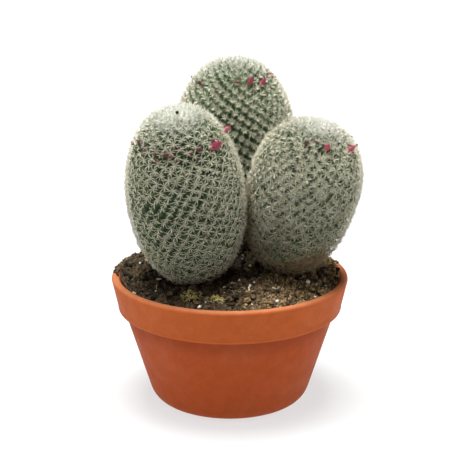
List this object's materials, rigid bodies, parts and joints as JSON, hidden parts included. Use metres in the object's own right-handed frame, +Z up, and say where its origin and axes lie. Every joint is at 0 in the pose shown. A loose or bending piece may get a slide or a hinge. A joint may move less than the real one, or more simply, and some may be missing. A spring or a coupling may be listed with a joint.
{
  "type": "potted cactus",
  "caption": "Clump of egg-shaped, white-spined cactus stems with small magenta buds, growing in a shallow round terracotta pot filled with dark potting mix.",
  "frame": {"origin": "centre of the pot's flat foot, on the surface that it stands on", "axes": "+Z up along the pot's axis, -Y towards the side that the picture shows, +X to the viewer's right"},
  "size_m": [0.1243, 0.1332, 0.1684],
  "materials": {
    "terracotta": "fired clay, satin, unglazed",
    "potting_mix": "rough, crumbly, matt",
    "cactus_skin": "green flesh under pale spines",
    "fresh_petals": "soft petal",
    "spent_petals": "dry petal"
  },
  "bodies": {
    "root": {"pot": "terracotta", "soil": "potting_mix", "stem_left": "cactus_skin", "stem_right": "cactus_skin", "stem_back": "cactus_skin", "bloom_left_1": "fresh_petals", "bloom_left_2": "fresh_petals", "bloom_left_3": "spent_petals", "bloom_left_4": "spent_petals", "bloom_left_5": "spent_petals", "bloom_left_6": "spent_petals", "bloom_left_7": "fresh_petals", "bloom_left_8": "spent_petals", "bloom_right_1": "fresh_petals", "bloom_right_2": "fresh_petals", "bloom_right_3": "spent_petals", "bloom_right_4": "spent_petals", "bloom_right_5": "fresh_petals", "bloom_back_1": "fresh_petals", "bloom_back_2": "fresh_petals", "bloom_back_3": "spent_petals", "bloom_back_4": "fresh_petals", "bloom_back_5": "spent_petals"}
  },
  "joints": []
}
